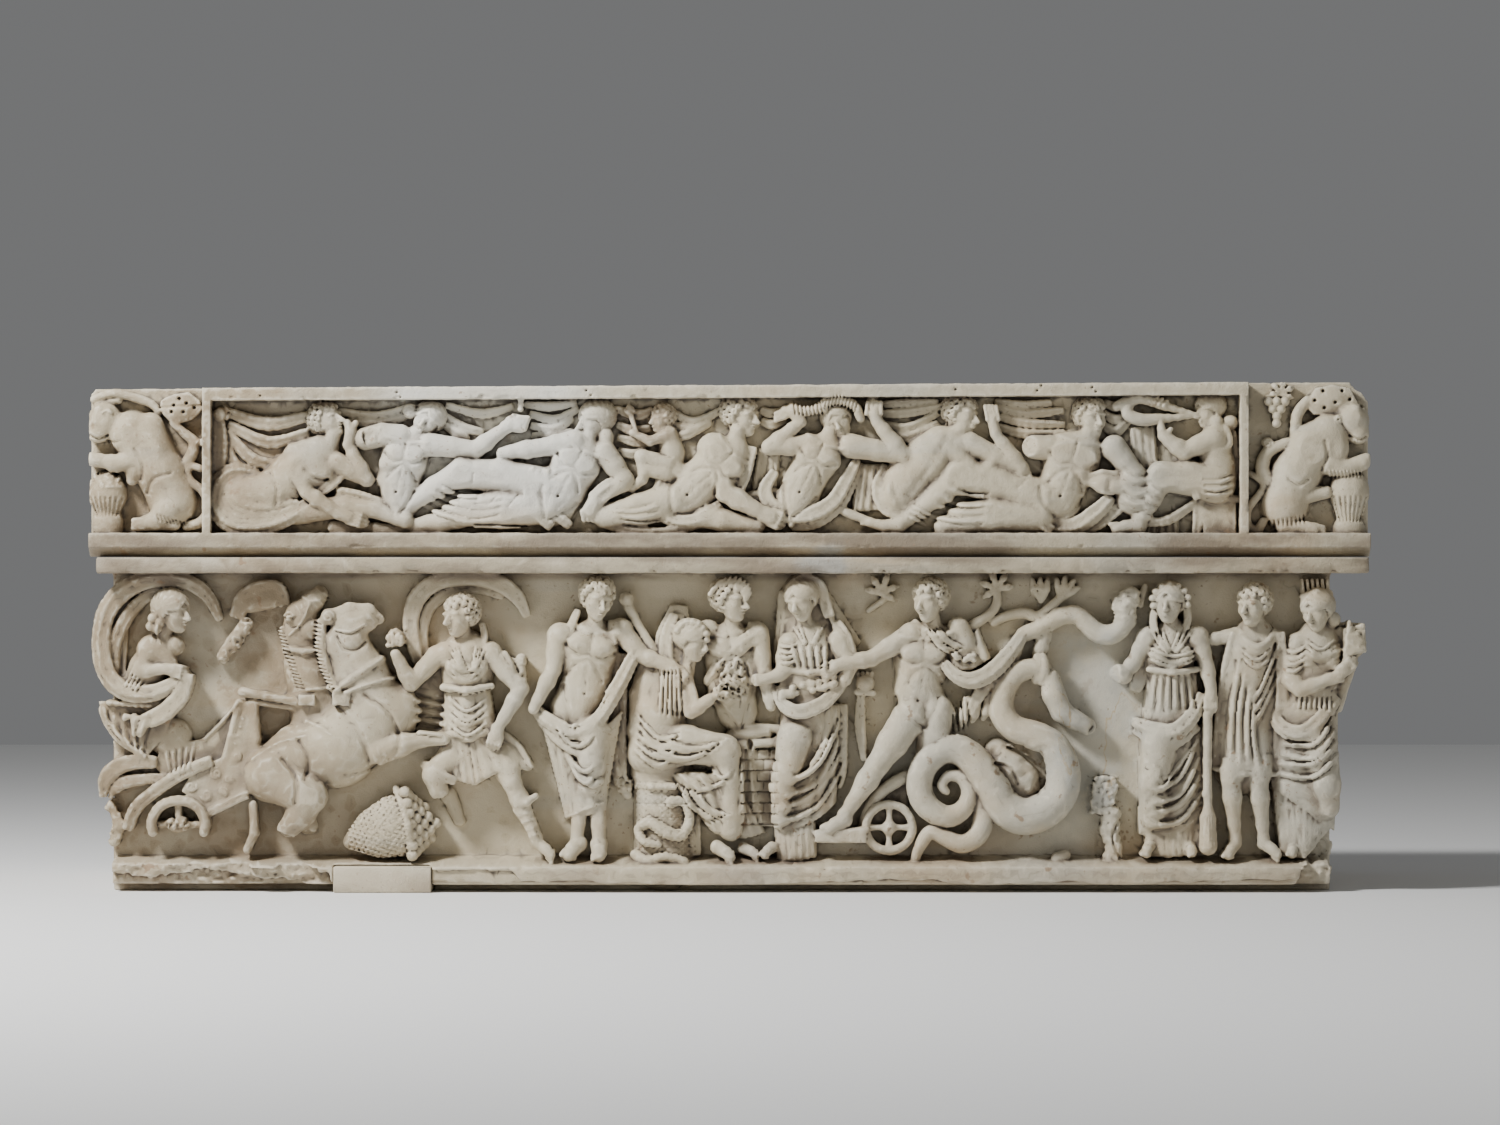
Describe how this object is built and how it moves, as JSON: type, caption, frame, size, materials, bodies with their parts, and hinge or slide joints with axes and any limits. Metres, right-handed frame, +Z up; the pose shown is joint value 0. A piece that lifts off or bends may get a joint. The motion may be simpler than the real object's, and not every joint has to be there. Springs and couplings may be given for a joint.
{
  "type": "stone sarcophagus",
  "caption": "Marble sarcophagus: a hollow trough with a deep figure frieze on its front, closed by a loose flat lid with an upright carved front panel.",
  "frame": {"origin": "bottom centre of the whole sarcophagus, on the surface that it stands on", "axes": "+X to the right as seen from the front, along the length; the carved front faces -Y; +Z up"},
  "size_m": [2.14, 0.66, 0.8531],
  "materials": {
    "marble": "worn hand-carved marble with a warm patina, matt, slightly polished on raised forms"
  },
  "bodies": {
    "root": {"trough": "marble", "lid": "marble"}
  },
  "joints": []
}
